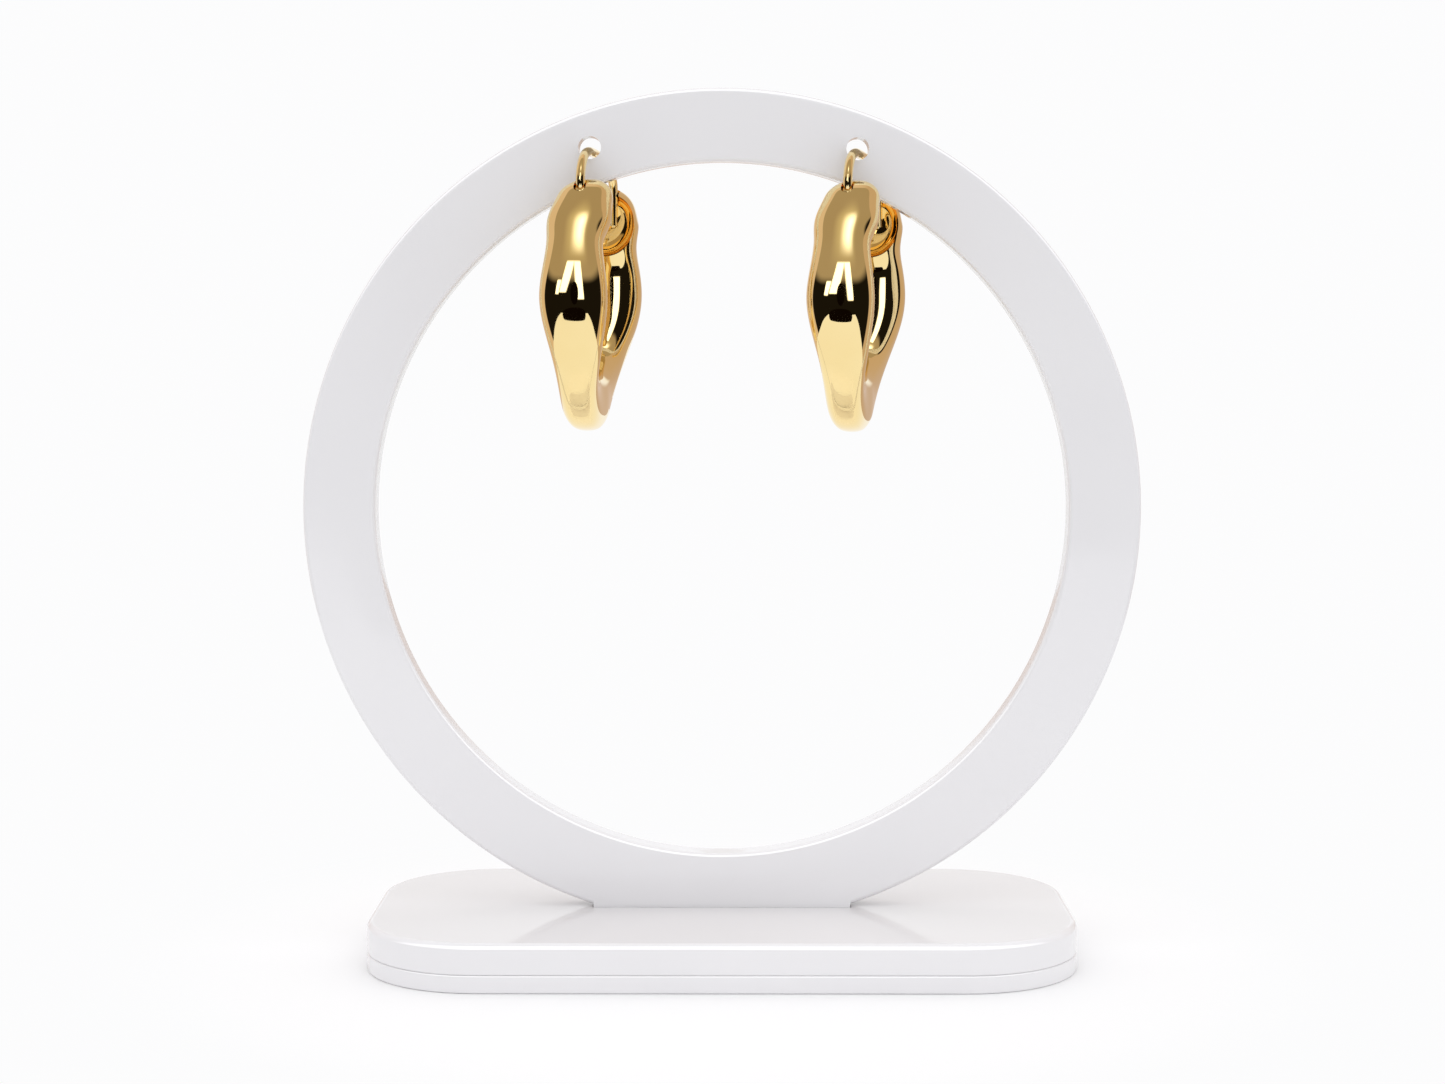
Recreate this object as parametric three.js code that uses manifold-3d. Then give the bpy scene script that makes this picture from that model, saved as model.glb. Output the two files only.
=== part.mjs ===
// A pair of chunky hoop earrings with a molten, wavy form, hung on a ring-shaped acrylic display stand.
// Millimetres, +Z up, +X to the viewer's right, +Y away from the viewer. The origin is the centre of the stand's
// underside.
import * as THREE from "three";
import { mergeVertices } from "three/addons/utils/BufferGeometryUtils.js";
import Module from "manifold-3d";

const wasm = await Module();
wasm.setup();

// Stand: two stacked base plates, and an upright ring whose foot stands in a slot of the upper plate
const BASE_WIDTH = 84;
const BASE_DEPTH = 43;
const BASE_CORNER = 14;
const LOWER_PLATE = 2.1;
const UPPER_PLATE = 3.6;
const TOP_ARRIS = 0.8;
const SEAM_ARRIS = 0.2;
const RING_RADIUS = 50;
const RING_BAND = 8.6;
const RING_THICKNESS = 4;
const RING_ARRIS = 0.35;
const RING_SINK = 2.1;
const FOOT_WIDTH = 31;
const SLOT_CLEARANCE = 0.1;
const HOLE_RADIUS = 1.35;
const HOLE_INSET = 4.25;

// Hoop: a wavy tube with domed ends, whose rear end has an open cup
const HOOP_HEIGHT = 30;
const HOOP_REACH = 22.3;
const HOOP_FRONT = 9.4;
const TUBE_WIDTH = 7.9;
const TUBE_THICKNESS = 5.6;
const DOME = 3.75;
const ROUNDNESS = 2.7;
const FACE_TURN = 9;
const CUP_WIDTH = 7.2;
const CUP_HEIGHT = 7.8;
const CUP_DEPTH = 3.2;
const CUP_DROP = 5.3;
const CUP_TILT = 18;

// Ear wire: a round wire with a flat eye, hinged on a pin in the hoop's front end, whose tip rests in the cup
const WIRE_DIAMETER = 1.1;
const WIRE_SAG = 0.38;
const WIRE_HANG = 3.02;
const WIRE_BEND = 4;
const WIRE_LEAN = 20;
const WIRE_CLEAR_ANGLE = 38;
const WIRE_SQUARENESS = 2.2;
const WIRE_DRIFT = 0.7;
const TIP_SETBACK = 1.4;
const TIP_DROP = 5.1;
const PIN_RADIUS = 0.35;
const PIN_DROP = 2.0;
const PIN_BACK = 3.8;
const PIN_SEAT = 1;
const EYE_RADIUS = 0.85;
const PLAY = 0.15;
const OPENING_ANGLE = 40;
const NOTCH_ROOM = 0.6;

// How each earring hangs, in degrees: where its hole is, clockwise from the ring's top, and its turn about the vertical
const EARRINGS = [
  { side: "left", holeAngle: -19.95, turn: 8.5 },
  { side: "right", holeAngle: 20.5, turn: 13 },
];

// The hoop's tube, one row for each section from its front end down round the bottom and up to its rear end.
// depth is a share of HOOP_REACH, height of HOOP_HEIGHT, width and sway of TUBE_WIDTH, thickness of TUBE_THICKNESS.
const HOOP_SECTIONS = [
  { depth: 0.18, height: 0.876, width: 0.87, thickness: 0.88, sway: 0.025 },
  { depth: 0.115, height: 0.815, width: 0.93, thickness: 0.89, sway: -0.005 },
  { depth: 0.065, height: 0.745, width: 0.84, thickness: 0.91, sway: -0.03 },
  { depth: 0.015, height: 0.65, width: 0.9, thickness: 0.96, sway: -0.02 },
  { depth: -0.02, height: 0.53, width: 1, thickness: 1, sway: -0.01 },
  { depth: -0.01, height: 0.41, width: 0.9, thickness: 1, sway: 0 },
  { depth: 0.04, height: 0.3, width: 0.72, thickness: 1.03, sway: 0 },
  { depth: 0.13, height: 0.205, width: 0.6, thickness: 1.1, sway: -0.03 },
  { depth: 0.26, height: 0.136, width: 0.58, thickness: 1.18, sway: -0.06 },
  { depth: 0.41, height: 0.113, width: 0.575, thickness: 1.22, sway: -0.08 },
  { depth: 0.56, height: 0.113, width: 0.57, thickness: 1.22, sway: -0.1 },
  { depth: 0.71, height: 0.145, width: 0.56, thickness: 1.16, sway: -0.13 },
  { depth: 0.85, height: 0.21, width: 0.6, thickness: 1.08, sway: -0.14 },
  { depth: 0.94, height: 0.295, width: 0.7, thickness: 1, sway: -0.1 },
  { depth: 0.99, height: 0.41, width: 0.89, thickness: 1.02, sway: -0.05 },
  { depth: 1, height: 0.53, width: 1, thickness: 0.98, sway: -0.03 },
  { depth: 1, height: 0.645, width: 0.93, thickness: 0.9, sway: -0.03 },
  { depth: 0.99, height: 0.735, width: 0.87, thickness: 1, sway: -0.04 },
  { depth: 0.975, height: 0.81, width: 0.91, thickness: 0.94, sway: -0.02 },
  { depth: 0.955, height: 0.855, width: 0.89, thickness: 0.92, sway: -0.02 },
];

// How finely the round shapes are cut
const RING_SIDES = 96;
const HOLE_SIDES = 20;
const CORNER_STEPS = 10;
const ARRIS_STEPS = 3;
const TUBE_SIDES = 20;
const STEPS_BETWEEN_SECTIONS = 2;
const DOME_STEPS = 4;
const CUP_SIDES = 20;
const WIRE_SIDES = 12;
const WIRE_STEPS = 36;
const PIN_SIDES = 12;
const EYE_SIDES = 20;
const SLOT_STEPS = 4;
const ARC_STEPS = 14;
const WELD = 1e-5;

// Places that follow from the sizes
const BASE_TOP = LOWER_PLATE + UPPER_PLATE;
const RING_CENTRE = BASE_TOP + RING_RADIUS - RING_SINK;
const HOLE_RING = RING_RADIUS - HOLE_INSET;
const WIRE_RADIUS = WIRE_DIAMETER / 2;
const SLOT_HALF = WIRE_RADIUS + PLAY;

const ACRYLIC = { color: 0xf1f0f3, roughness: 0.08, metalness: 0 };
const GOLD = { color: 0xd9a941, roughness: 0.05, metalness: 1 };

function welded(geometry) {
  geometry.deleteAttribute("normal");
  geometry.deleteAttribute("uv");
  return mergeVertices(geometry, WELD);
}

function toSolid(geometry) {
  const merged = welded(geometry);
  return new wasm.Manifold(new wasm.Mesh({
    numProp: 3,
    vertProperties: new Float32Array(merged.attributes.position.array),
    triVerts: new Uint32Array(merged.index.array),
  }));
}

function toGeometry(solid) {
  const mesh = solid.getMesh();
  const geometry = new THREE.BufferGeometry();
  geometry.setAttribute("position", new THREE.BufferAttribute(new Float32Array(mesh.vertProperties), 3));
  geometry.setIndex(new THREE.BufferAttribute(new Uint32Array(mesh.triVerts), 1));
  return geometry;
}

function named(name, solid, finish) {
  const geometry = toGeometry(solid);
  geometry.computeVertexNormals();
  const mesh = new THREE.Mesh(geometry, new THREE.MeshStandardMaterial(finish));
  mesh.name = name;
  return mesh;
}

// A closed skin over rings of points that all have the same count, closed by a fan at each end
function skin(rings, startPoint, endPoint) {
  const sides = rings[0].length;
  const points = [...rings.flat(), startPoint, endPoint];
  const start = points.length - 2;
  const end = points.length - 1;
  const last = (rings.length - 1) * sides;
  const index = [];
  for (let side = 0; side < sides; side += 1) {
    const next = (side + 1) % sides;
    index.push(start, next, side, end, last + side, last + next);
    for (let ring = 0; ring < rings.length - 1; ring += 1) {
      const low = ring * sides;
      const high = low + sides;
      index.push(low + side, low + next, high + next, low + side, high + next, high + side);
    }
  }
  const geometry = new THREE.BufferGeometry().setFromPoints(points);
  geometry.setIndex(index);
  return geometry;
}

function circlePoints(radius, sides, centreX = 0, centreY = 0) {
  return Array.from({ length: sides }, (_, step) => {
    const angle = (2 * Math.PI * step) / sides;
    return new THREE.Vector2(centreX + radius * Math.cos(angle), centreY + radius * Math.sin(angle));
  });
}

function box(width, depth, height, x, y, z) {
  return new THREE.BoxGeometry(width, depth, height).translate(x, y, z);
}

// Stand base: a plate with rounded corners, whose edges are rounded over at the top and eased at the bottom
function roundedOutline(inset, z) {
  const radius = BASE_CORNER - inset;
  const points = [];
  const corners = [[1, -1, -90], [1, 1, 0], [-1, 1, 90], [-1, -1, 180]];
  for (const [signX, signY, from] of corners) {
    for (let step = 0; step <= CORNER_STEPS; step += 1) {
      const angle = THREE.MathUtils.degToRad(from + (90 * step) / CORNER_STEPS);
      points.push(new THREE.Vector3(
        signX * (BASE_WIDTH / 2 - BASE_CORNER) + radius * Math.cos(angle),
        signY * (BASE_DEPTH / 2 - BASE_CORNER) + radius * Math.sin(angle),
        z,
      ));
    }
  }
  return points;
}

function plate(bottom, height, bottomArris, topArris) {
  const rings = [roundedOutline(bottomArris, bottom), roundedOutline(0, bottom + bottomArris)];
  for (let step = 0; step <= ARRIS_STEPS; step += 1) {
    const angle = (Math.PI / 2) * (step / ARRIS_STEPS);
    const inset = topArris * (1 - Math.cos(angle));
    rings.push(roundedOutline(inset, bottom + height - topArris * (1 - Math.sin(angle))));
  }
  return skin(rings, new THREE.Vector3(0, 0, bottom), new THREE.Vector3(0, 0, bottom + height));
}

function baseLower() {
  return toSolid(plate(0, LOWER_PLATE, SEAM_ARRIS, SEAM_ARRIS));
}

function baseUpper() {
  const slot = box(
    FOOT_WIDTH + 2 * SLOT_CLEARANCE, RING_THICKNESS + 2 * SLOT_CLEARANCE, 2 * UPPER_PLATE,
    0, 0, LOWER_PLATE + UPPER_PLATE / 2,
  );
  return toSolid(plate(LOWER_PLATE, UPPER_PLATE, SEAM_ARRIS, TOP_ARRIS)).subtract(toSolid(slot));
}

// Stand ring: a flat ring with a straight foot, and one small hole for each ear wire
function holePlace(degrees) {
  const angle = THREE.MathUtils.degToRad(degrees);
  return new THREE.Vector3(HOLE_RING * Math.sin(angle), 0, RING_CENTRE + HOLE_RING * Math.cos(angle));
}

function standRing() {
  const half = FOOT_WIDTH / 2;
  const footTop = Math.asin(half / RING_RADIUS);
  const sweep = 2 * (Math.PI - footTop);
  const outline = Array.from({ length: RING_SIDES + 1 }, (_, step) => {
    const angle = footTop - Math.PI / 2 + (sweep * step) / RING_SIDES;
    return new THREE.Vector2(RING_RADIUS * Math.cos(angle), RING_RADIUS * Math.sin(angle));
  });
  const footBottom = LOWER_PLATE - RING_CENTRE;
  outline.push(new THREE.Vector2(-half, footBottom), new THREE.Vector2(half, footBottom));
  const shape = new THREE.Shape(outline);
  shape.holes.push(new THREE.Path(circlePoints(RING_RADIUS - RING_BAND, RING_SIDES)));
  for (const { holeAngle } of EARRINGS) {
    const { x, z } = holePlace(holeAngle);
    shape.holes.push(new THREE.Path(circlePoints(HOLE_RADIUS, HOLE_SIDES, x, z - RING_CENTRE)));
  }
  const body = new THREE.ExtrudeGeometry(shape, {
    depth: RING_THICKNESS - 2 * RING_ARRIS,
    bevelThickness: RING_ARRIS,
    bevelSize: RING_ARRIS,
    bevelOffset: -RING_ARRIS,
    bevelSegments: 1,
  });
  body.translate(0, 0, RING_ARRIS - RING_THICKNESS / 2);
  body.rotateX(Math.PI / 2);
  body.translate(0, 0, RING_CENTRE);
  return toSolid(body);
}

// Hoop, drawn in a frame of its own whose origin is the centre of the hole that it hangs in: x is across the tube,
// y runs from the front end to the rear end, z is up
const HOOP_TOP = -WIRE_SAG - WIRE_HANG;
const HOOP_BOTTOM = HOOP_TOP - HOOP_HEIGHT;
const REAR_END = HOOP_SECTIONS[HOOP_SECTIONS.length - 1];
const PIN_Y = PIN_BACK - HOOP_FRONT;
const PIN_Z = HOOP_TOP - PIN_DROP;
const REAR_Y = REAR_END.depth * HOOP_REACH - HOOP_FRONT;
const FACE_ANGLE = THREE.MathUtils.degToRad(FACE_TURN);
const TIP_Y = REAR_Y - TIP_SETBACK;
const TIP_Z = HOOP_TOP - TIP_DROP;

const centreLine = new THREE.CatmullRomCurve3(HOOP_SECTIONS.map((row) => new THREE.Vector3(
  row.sway * TUBE_WIDTH,
  row.depth * HOOP_REACH - HOOP_FRONT,
  HOOP_BOTTOM + row.height * HOOP_HEIGHT,
)), false, "catmullrom");
const tubeSizes = new THREE.CatmullRomCurve3(HOOP_SECTIONS.map((row) => new THREE.Vector3(
  row.width * TUBE_WIDTH,
  row.thickness * TUBE_THICKNESS,
  0,
)), false, "catmullrom");

function rounded(value) {
  return Math.sign(value) * Math.abs(value) ** (2 / ROUNDNESS);
}

function tubeRing(share, past, scale) {
  const tangent = centreLine.getTangent(share);
  const across = new THREE.Vector3(Math.cos(FACE_ANGLE), Math.sin(FACE_ANGLE), 0);
  const outward = new THREE.Vector3().crossVectors(tangent, across).normalize();
  const centre = centreLine.getPoint(share).addScaledVector(tangent, past);
  const size = tubeSizes.getPoint(share);
  return Array.from({ length: TUBE_SIDES }, (_, side) => {
    const angle = (2 * Math.PI * side) / TUBE_SIDES;
    return centre.clone()
      .addScaledVector(across, (scale * size.x * rounded(Math.cos(angle))) / 2)
      .addScaledVector(outward, (scale * size.y * rounded(Math.sin(angle))) / 2);
  });
}

function tube() {
  const rings = [];
  const steps = (HOOP_SECTIONS.length - 1) * STEPS_BETWEEN_SECTIONS;
  for (let step = DOME_STEPS; step > 0; step -= 1) {
    const angle = (Math.PI / 2) * (step / (DOME_STEPS + 1));
    rings.push(tubeRing(0, -DOME * Math.sin(angle), Math.cos(angle)));
  }
  for (let step = 0; step <= steps; step += 1) {
    rings.push(tubeRing(step / steps, 0, 1));
  }
  for (let step = 1; step <= DOME_STEPS; step += 1) {
    const angle = (Math.PI / 2) * (step / (DOME_STEPS + 1));
    rings.push(tubeRing(1, DOME * Math.sin(angle), Math.cos(angle)));
  }
  const start = centreLine.getPoint(0).addScaledVector(centreLine.getTangent(0), -DOME);
  const end = centreLine.getPoint(1).addScaledVector(centreLine.getTangent(1), DOME);
  return toSolid(skin(rings, start, end));
}

// A prism across the tube, from an outline of points in the hoop's own plane
function acrossTube(outline, halfWidth) {
  const prism = new THREE.ExtrudeGeometry(new THREE.Shape(outline), { depth: 2 * halfWidth, bevelEnabled: false });
  prism.translate(0, 0, -halfWidth);
  prism.applyMatrix4(new THREE.Matrix4().makeBasis(
    new THREE.Vector3(0, 1, 0), new THREE.Vector3(0, 0, 1), new THREE.Vector3(1, 0, 0),
  ));
  return prism;
}

// The slot for the wire: the space that the wire sweeps on its pin, open at the front and top of the tube's end. Its
// lower end is round, as the wire is.
function wireSlot() {
  const pin = new THREE.Vector2(PIN_Y, PIN_Z);
  const firstLean = WIRE_LEAN - WIRE_CLEAR_ANGLE;
  const lastLean = WIRE_LEAN + OPENING_ANGLE;
  const outline = [pin];
  for (let step = 0; step <= SLOT_STEPS; step += 1) {
    const lean = THREE.MathUtils.degToRad(firstLean + ((lastLean - firstLean) * step) / SLOT_STEPS);
    outline.push(new THREE.Vector2(-Math.sin(lean), Math.cos(lean)).multiplyScalar(TUBE_THICKNESS).add(pin));
  }
  const end = new THREE.CylinderGeometry(SLOT_HALF, SLOT_HALF, TUBE_THICKNESS, WIRE_SIDES);
  end.translate(0, TUBE_THICKNESS / 2, 0);
  end.rotateX(Math.PI / 2 + THREE.MathUtils.degToRad(lastLean));
  end.translate(0, PIN_Y, PIN_Z);
  const eye = acrossTube(circlePoints(EYE_RADIUS + 2 * PLAY, EYE_SIDES, PIN_Y, PIN_Z), SLOT_HALF);
  return toSolid(eye).add(toSolid(acrossTube(outline, SLOT_HALF))).add(toSolid(end));
}

function cup() {
  const scoop = new THREE.SphereGeometry(1, CUP_SIDES, CUP_SIDES / 2);
  scoop.scale(CUP_WIDTH / 2, CUP_DEPTH, CUP_HEIGHT / 2);
  scoop.rotateY(THREE.MathUtils.degToRad(CUP_TILT));
  scoop.rotateZ(FACE_ANGLE);
  scoop.translate(0, REAR_Y - (REAR_END.thickness * TUBE_THICKNESS) / 2, HOOP_TOP - CUP_DROP);
  return toSolid(scoop);
}

function tipNotch() {
  const front = REAR_Y - TUBE_THICKNESS;
  const back = TIP_Y + WIRE_RADIUS + NOTCH_ROOM;
  const bottom = HOOP_TOP - CUP_DROP;
  return toSolid(box(
    2 * SLOT_HALF, back - front, 2 * CUP_DROP, WIRE_DRIFT, (front + back) / 2, bottom + CUP_DROP,
  ));
}

function hingePin() {
  const pin = new THREE.CylinderGeometry(PIN_RADIUS, PIN_RADIUS, 2 * (SLOT_HALF + PIN_SEAT), PIN_SIDES);
  pin.rotateZ(Math.PI / 2);
  pin.translate(0, PIN_Y, PIN_Z);
  return toSolid(pin);
}

function hoop() {
  return tube().subtract(wireSlot()).subtract(cup()).subtract(tipNotch()).add(hingePin());
}

// Ear wire, in the hoop's frame: it rises from its eye, passes over the hole's centre line at its crown and drops into
// the cup, where it has drifted a little to one side
function wirePath() {
  const bendZ = -WIRE_SAG - WIRE_BEND;
  const frontY = PIN_Y - (bendZ - PIN_Z) * Math.tan(THREE.MathUtils.degToRad(WIRE_LEAN));
  const power = 2 / WIRE_SQUARENESS;
  const points = [new THREE.Vector3(0, PIN_Y, PIN_Z)];
  for (let step = 0; step <= ARC_STEPS; step += 1) {
    const angle = Math.PI * (1 - step / ARC_STEPS);
    const run = Math.abs(Math.cos(angle)) ** power;
    const rise = Math.abs(Math.sin(angle)) ** power;
    const forward = step < ARC_STEPS / 2;
    points.push(new THREE.Vector3(
      forward ? 0 : WIRE_DRIFT * run * run, forward ? frontY * run : TIP_Y * run, bendZ + WIRE_BEND * rise,
    ));
  }
  points.push(new THREE.Vector3(WIRE_DRIFT, TIP_Y, TIP_Z));
  return new THREE.CatmullRomCurve3(points, false, "centripetal");
}

function earWire() {
  const section = new THREE.Shape(circlePoints(WIRE_RADIUS, WIRE_SIDES));
  const wire = new THREE.ExtrudeGeometry(section, { steps: WIRE_STEPS, extrudePath: wirePath() });
  const eye = acrossTube(circlePoints(EYE_RADIUS, EYE_SIDES, PIN_Y, PIN_Z), WIRE_RADIUS);
  const bore = acrossTube(circlePoints(PIN_RADIUS + PLAY, PIN_SIDES, PIN_Y, PIN_Z), 2 * WIRE_RADIUS);
  return toSolid(wire).add(toSolid(eye)).subtract(toSolid(bore));
}

// Put together
const display = new THREE.Group();
display.add(named("stand_base_lower", baseLower(), ACRYLIC));
display.add(named("stand_base_upper", baseUpper(), ACRYLIC));
display.add(named("stand_ring", standRing(), ACRYLIC));
for (const { side, holeAngle, turn } of EARRINGS) {
  const earring = new THREE.Group();
  earring.add(named(`ear_wire_${side}`, earWire(), GOLD));
  earring.add(named(`hoop_${side}`, hoop(), GOLD));
  earring.position.copy(holePlace(holeAngle));
  earring.rotation.z = -THREE.MathUtils.degToRad(turn);
  display.add(earring);
}

export default display;
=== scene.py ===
# A pair of mirror-polished gold hoop earrings with a molten form, hung in the holes of a white acrylic stand.
import math

import bmesh
import bpy
from mathutils import Matrix, Vector


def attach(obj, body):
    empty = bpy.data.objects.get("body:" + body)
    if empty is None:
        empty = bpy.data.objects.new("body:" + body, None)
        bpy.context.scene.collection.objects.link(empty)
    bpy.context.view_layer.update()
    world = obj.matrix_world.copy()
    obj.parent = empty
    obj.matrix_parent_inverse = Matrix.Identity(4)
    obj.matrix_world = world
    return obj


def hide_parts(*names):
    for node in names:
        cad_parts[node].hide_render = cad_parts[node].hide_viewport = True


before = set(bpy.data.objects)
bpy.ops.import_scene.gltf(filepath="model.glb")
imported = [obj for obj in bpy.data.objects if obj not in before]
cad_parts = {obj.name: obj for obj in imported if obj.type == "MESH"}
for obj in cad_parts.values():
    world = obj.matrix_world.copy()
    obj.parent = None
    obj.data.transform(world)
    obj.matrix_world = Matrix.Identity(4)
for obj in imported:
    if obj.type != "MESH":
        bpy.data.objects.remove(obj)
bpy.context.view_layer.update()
MM = 0.001


# The view
# A short telephoto stands a foot in front of the ring, level with the hoops, and looks slightly down.
camera = bpy.data.objects.new("camera", bpy.data.cameras.new("camera"))
camera.data.sensor_width = 36.0
camera.data.lens = 66.2
camera.data.clip_start = 0.01
camera.location = (1.06 * MM, -318.0 * MM, 75.8 * MM)
camera.rotation_euler = (math.radians(90 - 4.68), 0, math.radians(0.18))
bpy.context.scene.collection.objects.link(camera)
bpy.context.scene.camera = camera
bpy.context.scene.view_settings.view_transform = "Standard"


# The studio
# The polished gold reflects warm walls behind the stand, a dim ceiling with a glow and a soft box, and a dark
# side behind the camera with windows, a flag and a tripod. The camera sees only the white backdrop, and matt
# surfaces are lit by an even light that is stronger from above.
WALL = (0.72, 0.58, 0.50, 1)
RIGHT_WALL = (0.58, 0.44, 0.35, 1)
BACKDROP = (0.975, 0.975, 0.98, 1)
DARK_SIDE = (0.010, 0.008, 0.006, 1)
CEILING = (0.41, 0.33, 0.24, 1)
CEILING_GLOW = (0.86, 0.76, 0.52, 1)
SOFT_BOX = (3.0, 3.0, 3.2, 1)
WINDOW = (2.4, 2.4, 2.4, 1)
LIGHT_FROM_BELOW = (0.74, 0.745, 0.76, 1)
LIGHT_FROM_ABOVE = (1.35, 1.365, 1.39, 1)
DARK_SIDE_TOP = (21, 30)
GLOW_PANEL = {"left": -12, "right": 18, "low": 46, "high": 68, "soft": 16}
SOFT_BOX_PANEL = {"left": -2, "right": 14, "low": 50, "high": 60, "soft": 9}
WINDOWS = (
    {"left": -17, "right": -8.5, "low": 13, "high": 39, "lean": 0.27, "soft": 0.9},
    {"left": 2, "right": 10, "low": 6, "high": 39, "lean": -0.1, "soft": 0.9},
    {"left": -27, "right": -19, "low": 11, "high": 25, "lean": 0.3, "soft": 0.9},
)


def add_node(tree, kind, **settings):
    node = tree.nodes.new(kind)
    for name, value in settings.items():
        setattr(node, name, value)
    return node


def feed(tree, socket, value):
    if isinstance(value, bpy.types.NodeSocket):
        tree.links.new(value, socket)
    else:
        socket.default_value = value


def calculate(tree, operation, *values):
    node = add_node(tree, "ShaderNodeMath", operation=operation)
    for socket, value in zip(node.inputs, values):
        feed(tree, socket, value)
    return node.outputs[0]


def ramp(tree, value, low, high, to_low=0.0, to_high=1.0):
    node = add_node(tree, "ShaderNodeMapRange", interpolation_type="SMOOTHSTEP")
    settings = {"Value": value, "From Min": low, "From Max": high, "To Min": to_low, "To Max": to_high}
    for name, number in settings.items():
        feed(tree, node.inputs[name], number)
    return node.outputs["Result"]


def blend_colour(tree, factor, first, second):
    node = add_node(tree, "ShaderNodeMix", data_type="RGBA")
    feed(tree, node.inputs["Factor"], factor)
    feed(tree, node.inputs["A"], first)
    feed(tree, node.inputs["B"], second)
    return node.outputs["Result"]


world = bpy.data.worlds.new("studio")
bpy.context.scene.world = world
world.use_nodes = True
studio = world.node_tree
studio.nodes.clear()
axes = add_node(studio, "ShaderNodeSeparateXYZ")
studio.links.new(add_node(studio, "ShaderNodeTexCoord").outputs["Generated"], axes.inputs[0])
towards_back = axes.outputs["Y"]
side_angle = calculate(studio, "DEGREES", calculate(
    studio, "ARCTAN2", axes.outputs["X"], calculate(studio, "MULTIPLY", towards_back, -1.0)))
height_angle = calculate(studio, "DEGREES", calculate(studio, "ARCSINE", axes.outputs["Z"]))


def panel(left, right, low, high, soft, lean=0.0):
    """A mask in degrees as seen from the stand, which leans sideways as it rises."""
    drift = calculate(studio, "MULTIPLY", calculate(studio, "SUBTRACT", height_angle, low), lean)
    aside = calculate(studio, "SUBTRACT", side_angle, drift)
    across = calculate(studio, "MULTIPLY", ramp(studio, aside, left - soft, left + soft),
                       ramp(studio, aside, right - soft, right + soft, 1.0, 0.0))
    upright = calculate(studio, "MULTIPLY", ramp(studio, height_angle, low - soft, low + soft),
                        ramp(studio, height_angle, high - soft, high + soft, 1.0, 0.0))
    return calculate(studio, "MULTIPLY", across, upright)


front_side = blend_colour(studio, ramp(studio, height_angle, *DARK_SIDE_TOP), DARK_SIDE, CEILING)
front_side = blend_colour(studio, panel(**GLOW_PANEL), front_side, CEILING_GLOW)
front_side = blend_colour(studio, panel(**SOFT_BOX_PANEL), front_side, SOFT_BOX)
for window in WINDOWS:
    front_side = blend_colour(studio, panel(**window), front_side, WINDOW)
past_zenith = calculate(studio, "SUBTRACT", towards_back, ramp(studio, height_angle, 40, 75, 0.0, 0.3))
back_side = blend_colour(studio, ramp(studio, axes.outputs["X"], 0.0, 0.4), WALL, RIGHT_WALL)
straight_back = calculate(
    studio, "MULTIPLY", ramp(studio, towards_back, 0.9, 0.955), ramp(studio, height_angle, 2, 7))
back_side = blend_colour(studio, straight_back, back_side, BACKDROP)
room = blend_colour(studio, ramp(studio, past_zenith, -0.17, -0.11), front_side, back_side)
rays = add_node(studio, "ShaderNodeLightPath")
soft_light = blend_colour(studio, ramp(studio, height_angle, -20, 70), LIGHT_FROM_BELOW, LIGHT_FROM_ABOVE)
room = blend_colour(studio, rays.outputs["Is Diffuse Ray"], room, soft_light)
room = blend_colour(studio, rays.outputs["Is Camera Ray"], room, BACKDROP)
background = add_node(studio, "ShaderNodeBackground")
feed(studio, background.inputs["Color"], room)
studio.links.new(background.outputs[0], add_node(studio, "ShaderNodeOutputWorld").inputs[0])

black = bpy.data.materials.new("studio_black")
black.use_nodes = True
velvet = black.node_tree.nodes["Principled BSDF"]
velvet.inputs["Base Color"].default_value = (0.004, 0.002, 0.001, 1)
velvet.inputs["Specular IOR Level"].default_value = 0.0


def dark_shape(name, size, place):
    """A black oval behind the camera that only the polished surfaces see, its half sizes and place in mm."""
    oval = bmesh.new()
    bmesh.ops.create_uvsphere(oval, u_segments=48, v_segments=24, radius=MM)
    bmesh.ops.scale(oval, vec=size, verts=oval.verts)
    bmesh.ops.translate(oval, vec=Vector(place) * MM, verts=oval.verts)
    shape = bpy.data.objects.new(name, bpy.data.meshes.new(name))
    oval.to_mesh(shape.data)
    oval.free()
    bpy.context.scene.collection.objects.link(shape)
    shape.data.materials.append(black)
    shape.visible_camera = shape.visible_diffuse = shape.visible_shadow = False


dark_shape("flag", (25, 20, 84), (-20, -400, 165))
dark_shape("tripod", (80, 20, 45), (-15, -340, 20))


# The table
# A matt white sheet that the stand is on. It takes the stand's soft shadow close to the base, and further out
# it fades into the backdrop. The gold reflects it as far as its front edge.
TABLE_HALF_WIDTH = 165 * MM
TABLE_FRONT = -570 * MM
TABLE_BACK = 1400 * MM
TABLE_DROP = 0.02 * MM
TABLE_WHITE = (0.91, 0.91, 0.915, 1)
SHADOW_CORE = 41.25 * MM
SHADOW_REACH = 75 * MM

sheet = bmesh.new()
bmesh.ops.create_grid(sheet, x_segments=1, y_segments=1, size=1.0)
bmesh.ops.scale(sheet, vec=(TABLE_HALF_WIDTH, (TABLE_BACK - TABLE_FRONT) / 2, 1), verts=sheet.verts)
bmesh.ops.translate(sheet, vec=(0, (TABLE_BACK + TABLE_FRONT) / 2, -TABLE_DROP), verts=sheet.verts)
table = bpy.data.objects.new("table", bpy.data.meshes.new("table"))
sheet.to_mesh(table.data)
sheet.free()
bpy.context.scene.collection.objects.link(table)
table_finish = bpy.data.materials.new("table_white")
table_finish.use_nodes = True
tree = table_finish.node_tree
tree.nodes.clear()
place = add_node(tree, "ShaderNodeTexCoord").outputs["Object"]
distance = add_node(tree, "ShaderNodeVectorMath", operation="LENGTH")
tree.links.new(place, distance.inputs[0])
fade = ramp(tree, distance.outputs["Value"], SHADOW_CORE, SHADOW_REACH)
matte = add_node(tree, "ShaderNodeBsdfDiffuse")
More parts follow.
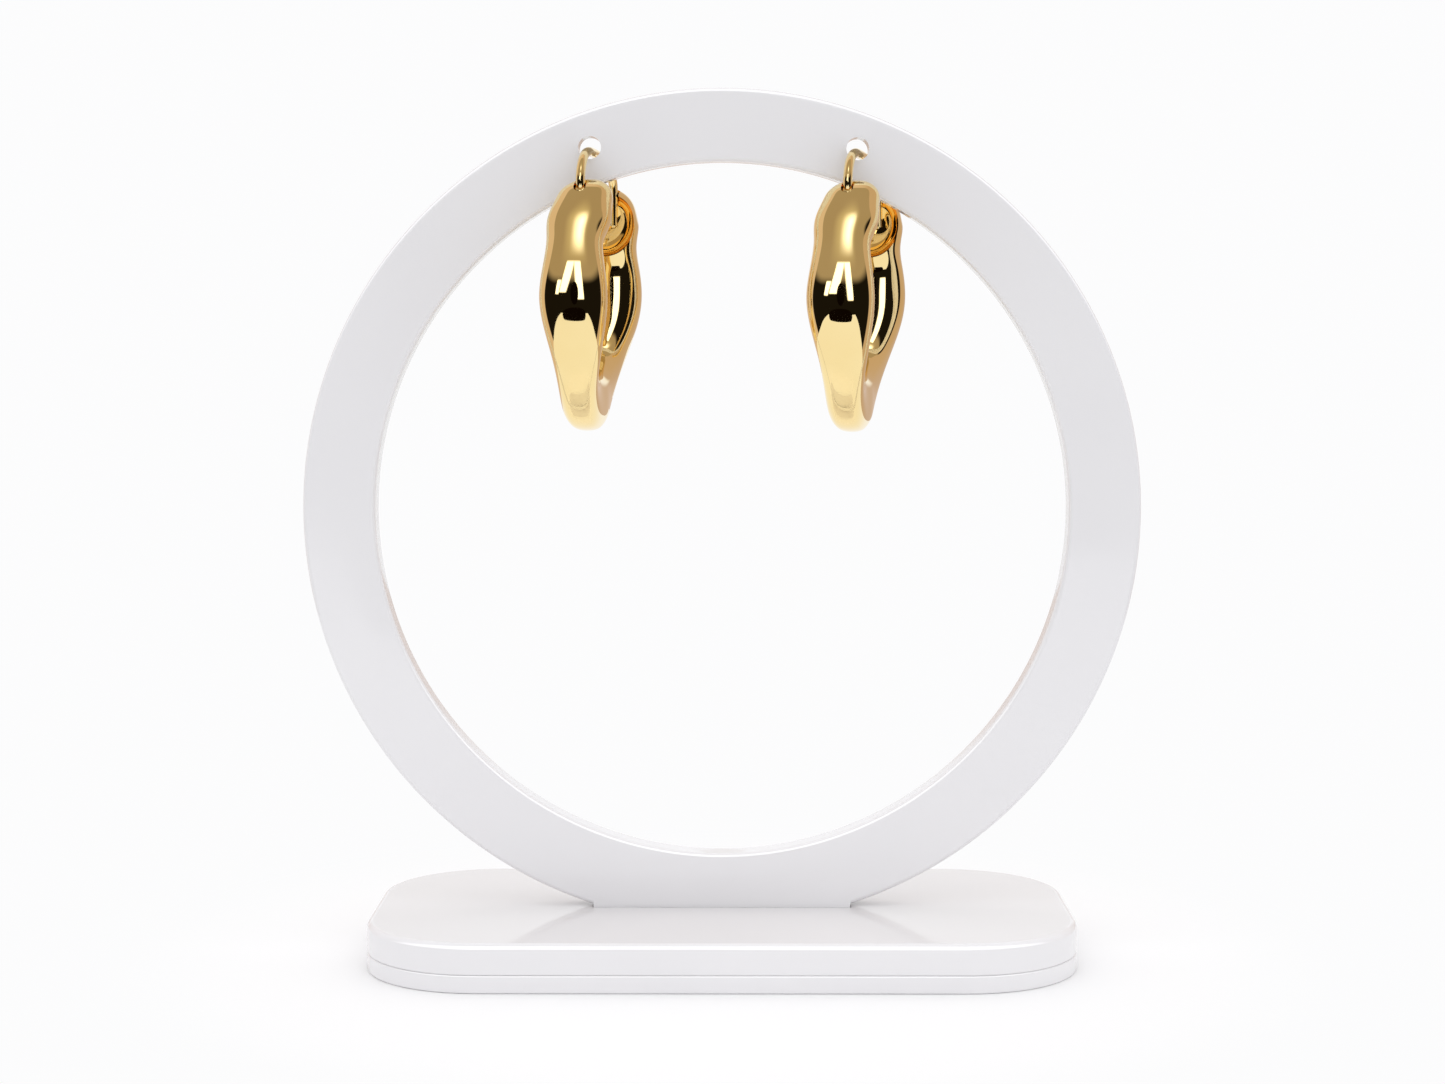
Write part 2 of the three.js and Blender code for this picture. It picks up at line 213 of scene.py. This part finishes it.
matte.inputs["Color"].default_value = TABLE_WHITE
glow = add_node(tree, "ShaderNodeEmission")
glow.inputs["Color"].default_value = BACKDROP
shade = add_node(tree, "ShaderNodeMixShader")
tree.links.new(fade, shade.inputs[0])
tree.links.new(matte.outputs[0], shade.inputs[1])
tree.links.new(glow.outputs[0], shade.inputs[2])
tree.links.new(shade.outputs[0], add_node(tree, "ShaderNodeOutputMaterial").inputs[0])
table.data.materials.append(table_finish)


# Stand base
# Two stacked plates of white acrylic sheet with rounded corners, cut by laser and polished. The upper one is
# rounded over at its top edge and has a slot for the ring's foot. A fine line shows where the two are bonded.
BASE_SIZE = (84 * MM, 43 * MM)
BASE_CORNER = 14 * MM
CORNER_STEPS = 24
LOWER_PLATE = 2.1 * MM
UPPER_PLATE = 3.6 * MM
TOP_ARRIS = 0.8 * MM
TOP_ARRIS_STEPS = 6
SEAM_ARRIS = 0.2 * MM
SEAM_ARRIS_STEPS = 3
SLOT_SIZE = (31.2 * MM, 4.2 * MM)
BASE_TOP = LOWER_PLATE + UPPER_PLATE
ACRYLIC_TINTS = ((0.795, 0.785, 0.800, 1), (0.815, 0.805, 0.818, 1))
# Strength of the highlight painted as emission on the eased edges.
PAINTED_EDGE_HIGHLIGHT = 0.22


def noise(tree, scale, detail=2.0):
    node = add_node(tree, "ShaderNodeTexNoise")
    tree.links.new(add_node(tree, "ShaderNodeTexCoord").outputs["Object"], node.inputs["Vector"])
    feed(tree, node.inputs["Scale"], scale)
    node.inputs["Detail"].default_value = detail
    return node.outputs["Fac"]


def handled_surface():
    """A shader group for any polished surface: its roughness, smooth with patches that handling has hazed."""
    group = bpy.data.node_groups.new("handled_surface", "ShaderNodeTree")
    for name in ("Scale", "Smooth", "Hazy"):
        group.interface.new_socket(name, in_out="INPUT", socket_type="NodeSocketFloat")
    group.interface.new_socket("Roughness", in_out="OUTPUT", socket_type="NodeSocketFloat")
    given = add_node(group, "NodeGroupInput")
    smear = noise(group, given.outputs["Scale"], 4.0)
    haze = ramp(group, smear, 0.42, 0.72, given.outputs["Smooth"], given.outputs["Hazy"])
    group.links.new(haze, add_node(group, "NodeGroupOutput").inputs["Roughness"])
    return group


HANDLED = handled_surface()


def handled_roughness(tree, scale, smooth, hazy):
    node = add_node(tree, "ShaderNodeGroup", node_tree=HANDLED)
    for name, value in (("Scale", scale), ("Smooth", smooth), ("Hazy", hazy)):
        node.inputs[name].default_value = value
    return node.outputs["Roughness"]


def white_acrylic():
    finish = bpy.data.materials.new("white_acrylic")
    finish.use_nodes = True
    tree = finish.node_tree
    surface = tree.nodes["Principled BSDF"]
    cloud = ramp(tree, noise(tree, 35.0), 0.3, 0.7)
    tree.links.new(blend_colour(tree, cloud, *ACRYLIC_TINTS), surface.inputs["Base Color"])
    tree.links.new(handled_roughness(tree, 90.0, 0.05, 0.11), surface.inputs["Roughness"])
    surface.inputs["IOR"].default_value = 1.49
    # Painted highlight: the eased edges glow where they turn from the sheet's faces upwards, in place of the
    # light's reflection there.
    facing = add_node(tree, "ShaderNodeSeparateXYZ")
    tree.links.new(add_node(tree, "ShaderNodeTexCoord").outputs["Normal"], facing.inputs[0])
    upwards = ramp(tree, facing.outputs["Z"], 0.15, 0.4)
    near_face = ramp(tree, calculate(tree, "ABSOLUTE", facing.outputs["Y"]), 0.64, 0.8)
    glow = blend_colour(tree, calculate(tree, "MULTIPLY", upwards, near_face), (0, 0, 0, 1), (1, 1, 1, 1))
    tree.links.new(glow, surface.inputs["Emission Color"])
    surface.inputs["Emission Strength"].default_value = PAINTED_EDGE_HIGHLIGHT
    return finish


FINISHES = {"white_acrylic": white_acrylic()}


def finished(name, shape, finish, body, node):
    """Makes the piece from its bmesh, and says what it rides on, replaces and is finished in."""
    mesh = bpy.data.meshes.new(name)
    shape.to_mesh(mesh)
    shape.free()
    piece = bpy.data.objects.new(name, mesh)
    bpy.context.scene.collection.objects.link(piece)
    mesh.materials.append(FINISHES[finish])
    mesh.shade_smooth()
    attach(piece, body)
    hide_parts(node)
    return piece


def cut_from(piece, cutter_shape, operation="DIFFERENCE"):
    cutter = bpy.data.objects.new("cutter", bpy.data.meshes.new("cutter"))
    cutter_shape.to_mesh(cutter.data)
    cutter_shape.free()
    bpy.context.scene.collection.objects.link(cutter)
    cut = piece.modifiers.new("cut", "BOOLEAN")
    cut.operation = operation
    cut.solver = "EXACT"
    cut.object = cutter
    evaluated = piece.evaluated_get(bpy.context.evaluated_depsgraph_get())
    result = bpy.data.meshes.new_from_object(evaluated)
    piece.modifiers.clear()
    piece.data = result
    bpy.data.objects.remove(cutter)


def even_shading(piece, sharper_than=50):
    """Flat faces shade flat and eased edges shade round."""
    piece.data.set_sharp_from_angle(angle=math.radians(sharper_than))
    shading = piece.modifiers.new("shading", "WEIGHTED_NORMAL")
    shading.keep_sharp = True
    shading.weight = 100


def block(size, centre):
    shape = bmesh.new()
    bmesh.ops.create_cube(shape, size=1.0)
    bmesh.ops.scale(shape, vec=size, verts=shape.verts)
    bmesh.ops.translate(shape, vec=centre, verts=shape.verts)
    return shape


def rounded(shape, geom, radius, steps, affect="EDGES"):
    bmesh.ops.bevel(shape, geom=geom, offset=radius, segments=steps, profile=0.5, affect=affect, material=-1)


def plate(bottom, height, top_arris):
    top = bottom + height
    shape = block((*BASE_SIZE, height), (0, 0, bottom + height / 2))
    corners = [edge for edge in shape.edges if abs(edge.verts[0].co.z - edge.verts[1].co.z) > height / 2]
    rounded(shape, corners, BASE_CORNER, CORNER_STEPS)
    for level, arris, steps in ((top, top_arris, TOP_ARRIS_STEPS), (bottom, SEAM_ARRIS, SEAM_ARRIS_STEPS)):
        rim = [edge for edge in shape.edges if all(abs(vert.co.z - level) < 1e-7 for vert in edge.verts)]
        rounded(shape, rim, arris, steps)
    return shape


lower_plate = finished(
    "lower_plate", plate(0, LOWER_PLATE, SEAM_ARRIS), "white_acrylic", "stand", "stand_base_lower")
upper_plate = finished(
    "upper_plate", plate(LOWER_PLATE, UPPER_PLATE, TOP_ARRIS), "white_acrylic", "stand", "stand_base_upper")
cut_from(upper_plate, block((*SLOT_SIZE, 2 * UPPER_PLATE), (0, 0, BASE_TOP)))
even_shading(lower_plate)
even_shading(upper_plate)


# Stand ring
# A flat ring cut from one acrylic sheet, with a straight foot that stands in the base's slot, and a small
# drilled hole for each ear wire. Its edges are rounded and polished, and the mouths of the holes are eased.
RING_RADIUS = 50 * MM
RING_BAND = 8.6 * MM
RING_THICKNESS = 4 * MM
RING_ARRIS = 0.5 * MM
RING_ARRIS_STEPS = 5
RING_CENTRE = Vector((0, 0, BASE_TOP + 47.9 * MM))
FOOT_WIDTH = 31 * MM
FOOT_RISE = 3.5 * MM
HOLE_RADIUS = 1.35 * MM
HOLE_ARRIS = 0.15 * MM
HOLE_RING = 45.75 * MM
HOLE_ANGLES = {"left": -19.95, "right": 20.5}
ROUND_STEPS = 256
WELD_REACH = 0.001 * MM


def hole_place(side):
    angle = math.radians(HOLE_ANGLES[side])
    return RING_CENTRE + HOLE_RING * Vector((math.sin(angle), 0, math.cos(angle)))


def disc(radius, depth, centre, steps, axis="Y"):
    shape = bmesh.new()
    bmesh.ops.create_cone(shape, cap_ends=True, segments=steps, radius1=radius, radius2=radius, depth=depth)
    turn = Matrix.Rotation(math.radians(90), 3, "X" if axis == "Y" else "Y")
    bmesh.ops.rotate(shape, cent=(0, 0, 0), matrix=turn, verts=shape.verts)
    bmesh.ops.translate(shape, vec=centre, verts=shape.verts)
    return shape


def lathed_ring():
    """The band's cross-section with rounded corners, spun around the ring's axis."""
    shape = bmesh.new()
    bmesh.ops.create_grid(shape, x_segments=1, y_segments=1, size=0.5)
    bmesh.ops.scale(shape, vec=(RING_BAND, RING_THICKNESS, 1), verts=shape.verts)
    middle = RING_CENTRE + Vector((RING_RADIUS - RING_BAND / 2, 0, 0))
    bmesh.ops.translate(shape, vec=middle, verts=shape.verts)
    rounded(shape, shape.verts[:], RING_ARRIS, RING_ARRIS_STEPS, "VERTICES")
    bmesh.ops.delete(shape, geom=shape.faces[:], context="FACES_ONLY")
    bmesh.ops.spin(shape, geom=shape.verts[:] + shape.edges[:], cent=RING_CENTRE, axis=(0, 1, 0),
                   angle=math.tau, steps=ROUND_STEPS, use_merge=True)
    bmesh.ops.recalc_face_normals(shape, faces=shape.faces)
    return shape


def hole_mouth(place, front):
    """The cone that eases one mouth of a drilled hole."""
    shape = bmesh.new()
    bmesh.ops.create_cone(shape, cap_ends=True, segments=64, radius1=HOLE_RADIUS - HOLE_ARRIS,
                          radius2=HOLE_RADIUS + 2 * HOLE_ARRIS, depth=3 * HOLE_ARRIS)
    turn = Matrix.Rotation(math.radians(-90 * front), 3, "X")
    bmesh.ops.rotate(shape, cent=(0, 0, 0), matrix=turn, verts=shape.verts)
    bmesh.ops.translate(
        shape, vec=place + Vector((0, front * (RING_THICKNESS + HOLE_ARRIS) / 2, 0)), verts=shape.verts)
    return shape


def weld(piece):
    """Joins the points that cuts leave on top of each other, and closes needle-thin faces and gaps."""
    shape = bmesh.new()
    shape.from_mesh(piece.data)
    bmesh.ops.remove_doubles(shape, verts=shape.verts, dist=WELD_REACH)
    bmesh.ops.dissolve_degenerate(shape, edges=shape.edges, dist=WELD_REACH)
    bmesh.ops.holes_fill(shape, edges=shape.edges, sides=4)
    shape.to_mesh(piece.data)
    shape.free()


foot_top = RING_CENTRE.z - RING_RADIUS + FOOT_RISE
foot = block((FOOT_WIDTH, RING_THICKNESS, foot_top - LOWER_PLATE), (0, 0, (foot_top + LOWER_PLATE) / 2))
ring = finished("ring", lathed_ring(), "white_acrylic", "stand", "stand_ring")
cut_from(ring, foot, "UNION")
for side in HOLE_ANGLES:
    cut_from(ring, disc(HOLE_RADIUS, 2 * RING_THICKNESS, hole_place(side), 64))
    for front in (-1, 1):
        cut_from(ring, hole_mouth(hole_place(side), front))
weld(ring)
even_shading(ring)


# Hoops
# Each hoop is a thick tube that swells and shrinks like poured metal: brass pressed in two hollow halves,
# soldered, plated with gold and buffed to a mirror. Its domed front end has a slot with a riveted pin, and
# its rear end has an open cup that takes the wire's tip.
HOOP_HEIGHT = 30 * MM
HOOP_REACH = 22.3 * MM
HOOP_FRONT = 9.4 * MM
HOOP_TOP = -3.4 * MM
TUBE_WIDTH = 7.9 * MM
TUBE_THICKNESS = 5.6 * MM
DOME = 3.75 * MM
DOME_ANGLES = (25, 50, 72)
ROUNDNESS = 2.7
FACE_TURN = 9
TUBE_SIDES = 20
HOOP_SECTIONS = (
    {"depth": 0.18, "height": 0.876, "width": 0.87, "thickness": 0.88, "sway": 0.025},
    {"depth": 0.115, "height": 0.815, "width": 0.93, "thickness": 0.89, "sway": -0.005},
    {"depth": 0.065, "height": 0.745, "width": 0.84, "thickness": 0.91, "sway": -0.03},
    {"depth": 0.015, "height": 0.65, "width": 0.9, "thickness": 0.96, "sway": -0.02},
    {"depth": -0.02, "height": 0.53, "width": 1.0, "thickness": 1.0, "sway": -0.01},
    {"depth": -0.01, "height": 0.41, "width": 0.9, "thickness": 1.0, "sway": 0.0},
    {"depth": 0.04, "height": 0.3, "width": 0.72, "thickness": 1.03, "sway": 0.0},
    {"depth": 0.13, "height": 0.205, "width": 0.6, "thickness": 1.1, "sway": -0.03},
    {"depth": 0.26, "height": 0.136, "width": 0.58, "thickness": 1.18, "sway": -0.06},
    {"depth": 0.41, "height": 0.113, "width": 0.575, "thickness": 1.22, "sway": -0.08},
    {"depth": 0.56, "height": 0.113, "width": 0.57, "thickness": 1.22, "sway": -0.1},
    {"depth": 0.71, "height": 0.145, "width": 0.56, "thickness": 1.16, "sway": -0.13},
    {"depth": 0.85, "height": 0.21, "width": 0.6, "thickness": 1.08, "sway": -0.14},
    {"depth": 0.94, "height": 0.295, "width": 0.7, "thickness": 1.0, "sway": -0.1},
    {"depth": 0.99, "height": 0.41, "width": 0.89, "thickness": 1.02, "sway": -0.05},
    {"depth": 1.0, "height": 0.53, "width": 1.0, "thickness": 0.98, "sway": -0.03},
    {"depth": 1.0, "height": 0.645, "width": 0.93, "thickness": 0.9, "sway": -0.03},
    {"depth": 0.99, "height": 0.735, "width": 0.87, "thickness": 1.0, "sway": -0.04},
    {"depth": 0.975, "height": 0.81, "width": 0.91, "thickness": 0.94, "sway": -0.02},
    {"depth": 0.955, "height": 0.855, "width": 0.89, "thickness": 0.92, "sway": -0.02},
)
TURNS = {"left": 8.5, "right": 13.0}
WIRE_RADIUS = 0.55 * MM
WIRE_LEAN = 20
WIRE_CLEAR_ANGLE = 38
WIRE_DRIFT = 0.7 * MM
OPENING_ANGLE = 40
PLAY = 0.15 * MM
SLOT_HALF = WIRE_RADIUS + PLAY
PIN = Vector((0, -5.6 * MM, HOOP_TOP - 2 * MM))
PIN_RADIUS = 0.35 * MM
PIN_SEAT = 1 * MM
EYE_RADIUS = 0.85 * MM
REAR_Y = HOOP_SECTIONS[-1]["depth"] * HOOP_REACH - HOOP_FRONT
TIP = Vector((WIRE_DRIFT, REAR_Y - 1.4 * MM, HOOP_TOP - 5.1 * MM))
CUP_SIZE = Vector((3.6 * MM, 3.2 * MM, 3.9 * MM))
CUP_CENTRE = Vector((0, REAR_Y - HOOP_SECTIONS[-1]["thickness"] * TUBE_THICKNESS / 2, HOOP_TOP - 5.3 * MM))
CUP_TILT = 18
NOTCH_ROOM = 0.6 * MM
CUT_STEP = 0.02
SHARP_ANGLE = 32
GOLD_TINTS = ((0.950, 0.750, 0.365, 1), (0.975, 0.785, 0.400, 1))
# Deep orange painted into the hollows: a painted reflection of the gold in itself.
PAINTED_BOUNCE_GOLD = (0.90, 0.53, 0.10, 1)
PAINTED_BOUNCE_REACH = 6 * MM


def polished_gold():
    finish = bpy.data.materials.new("polished_gold")
    finish.use_nodes = True
    tree = finish.node_tree
    surface = tree.nodes["Principled BSDF"]
    surface.inputs["Metallic"].default_value = 1.0
    plating = ramp(tree, noise(tree, 120.0), 0.35, 0.65)
    # Painted reflection: where ambient occlusion finds the hoop close around, as in the cup and slot, the
    # colour turns deep orange.
    openness = add_node(tree, "ShaderNodeAmbientOcclusion", samples=6, only_local=True)
    openness.inputs["Distance"].default_value = PAINTED_BOUNCE_REACH
    painted_bounce = ramp(tree, openness.outputs["AO"], 0.6, 0.97, 1.0, 0.0)
    tint = blend_colour(tree, painted_bounce, blend_colour(tree, plating, *GOLD_TINTS), PAINTED_BOUNCE_GOLD)
    tree.links.new(tint, surface.inputs["Base Color"])
    tree.links.new(handled_roughness(tree, 260.0, 0.02, 0.045), surface.inputs["Roughness"])
    buffing = add_node(tree, "ShaderNodeBump")
    buffing.inputs["Strength"].default_value = 0.12
    buffing.inputs["Distance"].default_value = 0.02 * MM
    tree.links.new(noise(tree, 420.0, 1.0), buffing.inputs["Height"])
    tree.links.new(buffing.outputs["Normal"], surface.inputs["Normal"])
    return finish


FINISHES["polished_gold"] = polished_gold()


def section_frames():
    """Each section's centre, its direction along the tube, and its half width and half thickness."""
    centres = [Vector((
        row["sway"] * TUBE_WIDTH,
        row["depth"] * HOOP_REACH - HOOP_FRONT,
        HOOP_TOP - HOOP_HEIGHT + row["height"] * HOOP_HEIGHT,
    )) for row in HOOP_SECTIONS]
    frames = []
    for step, (row, centre) in enumerate(zip(HOOP_SECTIONS, centres)):
        before = centres[max(step - 1, 0)]
        after = centres[min(step + 1, len(centres) - 1)]
        frames.append((centre, (after - before).normalized(), row["width"] * TUBE_WIDTH / 2,
                       row["thickness"] * TUBE_THICKNESS / 2))
    for end, way in ((0, -1), (-1, 1)):
        centre, along, half_width, half_thickness = frames[end]
        dome = []
        for angle in DOME_ANGLES:
            past = DOME * math.sin(math.radians(angle))
            shrink = math.cos(math.radians(angle))
            dome.append((centre + way * past * along, along, shrink * half_width, shrink * half_thickness))
        frames = frames + dome if way == 1 else dome[::-1] + frames
    return frames


def swept(ring_point, frames, sides, tips):
    """A closed tube: a circle at each frame, shaped by ring_point, bridged, and closed at its two tips."""
    shape = bmesh.new()
    loops = []
    for frame_here in frames:
        circle = bmesh.ops.create_circle(shape, cap_ends=False, segments=sides, radius=1.0)["verts"]
        for vert in circle:
            vert.co = ring_point(frame_here, vert.co)
        loops.append(circle)
    shape.edges.ensure_lookup_table()
    for first, second in zip(loops, loops[1:]):
        members = set(first) | set(second)
        edges = [edge for edge in shape.edges if edge.verts[0] in members and edge.verts[1] in members
                 and len(edge.link_faces) < 2]
        bmesh.ops.bridge_loops(shape, edges=edges)
    for loop, tip in ((loops[0], tips[0]), (loops[-1], tips[1])):
        rim = [edge for edge in shape.edges if edge.verts[0] in loop and edge.verts[1] in loop]
        cap = bmesh.ops.contextual_create(shape, geom=rim)["faces"]
        middle = bmesh.ops.poke(shape, faces=cap)["verts"][0]
        middle.co = tip
    bmesh.ops.recalc_face_normals(shape, faces=shape.faces)
    return shape


def hoop_point(frame_here, unit):
    centre, along, half_width, half_thickness = frame_here
    across = Vector((math.cos(math.radians(FACE_TURN)), math.sin(math.radians(FACE_TURN)), 0))
    outward = along.cross(across).normalized()
    bulge = 2 / ROUNDNESS
    wide = math.copysign(abs(unit.x) ** bulge, unit.x)
    deep = math.copysign(abs(unit.y) ** bulge, unit.y)
    return centre + across * wide * half_width + outward * deep * half_thickness


def through_points(shape, rounds=12):
    """Moves the cage so that the subdivided surface passes through where the cage's points were."""
    wanted = [vert.co.copy() for vert in shape.verts]
    for _ in range(rounds):
        smooth = []
        for vert in shape.verts:
            valence = len(vert.link_edges)
            near = sum((edge.other_vert(vert).co for edge in vert.link_edges), Vector())
            far = Vector()
            for face in vert.link_faces:
                corners = [other for other in face.verts if other is not vert
                           and all(other not in edge.verts for edge in vert.link_edges)]
                far += corners[0].co if corners else face.calc_center_median()
            smooth.append((vert.co * valence * valence + 4 * near + far) / (valence * (valence + 5)))
        for vert, goal, now in zip(shape.verts, wanted, smooth):
            vert.co += goal - now
    return shape


def slot_cutters():
    """The room that the wire and its eye sweep in the front end as the hoop swings open.

    The three cutters differ a little in width, so that no two of their faces lie in one plane.
    """
    first = WIRE_LEAN - WIRE_CLEAR_ANGLE
    last = WIRE_LEAN + OPENING_ANGLE
    sector = bmesh.new()
    for across in (-SLOT_HALF, SLOT_HALF):
        bmesh.ops.create_vert(sector, co=PIN + Vector((across, 0, 0)))
        for step in range(9):
            lean = math.radians(first + (last - first) * step / 8)
            reach = TUBE_THICKNESS * Vector((0, -math.sin(lean), math.cos(lean)))
            bmesh.ops.create_vert(sector, co=PIN + reach + Vector((across, 0, 0)))
    bmesh.ops.convex_hull(sector, input=sector.verts)
    bmesh.ops.dissolve_limit(sector, angle_limit=math.radians(1), verts=sector.verts, edges=sector.edges)
    bmesh.ops.recalc_face_normals(sector, faces=sector.faces)
    lower_end = bmesh.new()
    end_radius = (1 - CUT_STEP) * SLOT_HALF
    bmesh.ops.create_cone(
        lower_end, cap_ends=True, segments=40, radius1=end_radius, radius2=end_radius, depth=TUBE_THICKNESS)
    bmesh.ops.translate(lower_end, vec=(0, 0, TUBE_THICKNESS / 2), verts=lower_end.verts)
    bmesh.ops.rotate(lower_end, cent=(0, 0, 0), matrix=Matrix.Rotation(math.radians(last), 3, "X"),
                     verts=lower_end.verts)
    bmesh.ops.translate(lower_end, vec=PIN, verts=lower_end.verts)
    return disc(EYE_RADIUS + 2 * PLAY, 2 * (1 + CUT_STEP) * SLOT_HALF, PIN, 48, "X"), sector, lower_end


def cup_cutter():
    shape = bmesh.new()
    bmesh.ops.create_uvsphere(shape, u_segments=72, v_segments=48, radius=1.0)
    bmesh.ops.scale(shape, vec=CUP_SIZE, verts=shape.verts)
    facing = Matrix.Rotation(math.radians(FACE_TURN), 3, "Z")
    tilted = Matrix.Rotation(math.radians(CUP_TILT), 3, "Y")
    bmesh.ops.rotate(shape, cent=(0, 0, 0), matrix=facing @ tilted, verts=shape.verts)
    bmesh.ops.translate(shape, vec=CUP_CENTRE, verts=shape.verts)
    return shape


def notch_cutter():
    front = REAR_Y - TUBE_THICKNESS
    back = TIP.y + WIRE_RADIUS + NOTCH_ROOM
    size = (2 * SLOT_HALF, back - front, TUBE_THICKNESS)
    return block(size, (WIRE_DRIFT, (front + back) / 2, CUP_CENTRE.z + size[2] / 2))


def hoop_shape():
    frames = section_frames()
    tips = (frames[3][0] - DOME * frames[3][1], frames[-4][0] + DOME * frames[-4][1])
    return through_points(swept(hoop_point, frames, TUBE_SIDES, tips))


def hang(piece, side):
    """Moves a piece from the hoop's own place, with the hole at the origin, to its side of the stand."""
    place = Matrix.Translation(hole_place(side)) @ Matrix.Rotation(math.radians(-TURNS[side]), 4, "Z")
    piece.data.transform(place)


for side in TURNS:
    hoop = finished(f"hoop_shell_{side}", hoop_shape(), "polished_gold", f"hoop_{side}", f"hoop_{side}")
    smooth = hoop.modifiers.new("smooth", "SUBSURF")
    smooth.levels = smooth.render_levels = 3
    for cutter in (*slot_cutters(), cup_cutter(), notch_cutter()):
        cut_from(hoop, cutter)
    weld(hoop)
    hoop.data.set_sharp_from_angle(angle=math.radians(SHARP_ANGLE))
    pin = finished(f"hinge_pin_{side}", disc(PIN_RADIUS, 2 * (SLOT_HALF + PIN_SEAT), PIN, 32, "X"),
                   "polished_gold", f"hoop_{side}", f"hoop_{side}")
    hang(hoop, side)
    hang(pin, side)


# Ear wires
# Round gold wire with an eye at its lower end that turns on the pin. It leans out of the slot, arches through
# the stand's hole and drops into the cup with a rounded tip, clear of the cup's walls.
WIRE_SAG = 0.38 * MM
WIRE_BEND = 4 * MM
WIRE_SQUARENESS = 2.2
WIRE_SIDES = 10
ARC_STEPS = 14
TIP_ROUNDING = ((0.5, 0.86), (0.85, 0.52))
LIP = 0.12 * MM


def wire_path():
    bend = -WIRE_SAG - WIRE_BEND
    front = PIN.y - (bend - PIN.z) * math.tan(math.radians(WIRE_LEAN))
    points = [PIN.copy()]
    for step in range(ARC_STEPS + 1):
        angle = math.pi * (1 - step / ARC_STEPS)
        run = abs(math.cos(angle)) ** (2 / WIRE_SQUARENESS)
        rise = abs(math.sin(angle)) ** (2 / WIRE_SQUARENESS)
        forward = step < ARC_STEPS / 2
        points.append(Vector((
            0 if forward else WIRE_DRIFT * run * run,
            (front if forward else TIP.y) * run,
            bend + WIRE_BEND * rise,
        )))
    points += [TIP.lerp(points[-1], 0.5), TIP]
    return points


def wire_point(frame_here, unit):
    centre, along, radius = frame_here
    across = Vector((1, 0, 0))
    outward = along.cross(across).normalized()
    return centre + (across * unit.x + outward * unit.y) * radius


def wire_shape():
    points = wire_path()
    frames = []
    for step, centre in enumerate(points):
        along = (points[min(step + 1, len(points) - 1)] - points[max(step - 1, 0)]).normalized()
        frames.append((centre, along, WIRE_RADIUS))
    end, down, _ = frames[-1]
    for past, share in TIP_ROUNDING:
        frames.append((end + down * past * WIRE_RADIUS, down, share * WIRE_RADIUS))
    tips = (points[0] - frames[0][1] * 0.2 * WIRE_RADIUS, end + down * WIRE_RADIUS)
    return through_points(swept(wire_point, frames, WIRE_SIDES, tips))


def ease_edges(piece, width, steps, sharper_than):
    arris = piece.modifiers.new("arris", "BEVEL")
    arris.width = width
    arris.segments = steps
    arris.limit_method = "ANGLE"
    arris.angle_limit = math.radians(sharper_than)


for side in TURNS:
    wire = finished(f"wire_{side}", wire_shape(), "polished_gold", "stand", f"ear_wire_{side}")
    smooth = wire.modifiers.new("smooth", "SUBSURF")
    smooth.levels = smooth.render_levels = 3
    eye = finished(f"wire_eye_{side}", disc(EYE_RADIUS, 2 * WIRE_RADIUS, PIN, 48, "X"),
                   "polished_gold", "stand", f"ear_wire_{side}")
    cut_from(eye, disc(PIN_RADIUS + PLAY, 4 * WIRE_RADIUS, PIN, 32, "X"))
    ease_edges(eye, LIP, 3, 45)
    hang(wire, side)
    hang(eye, side)
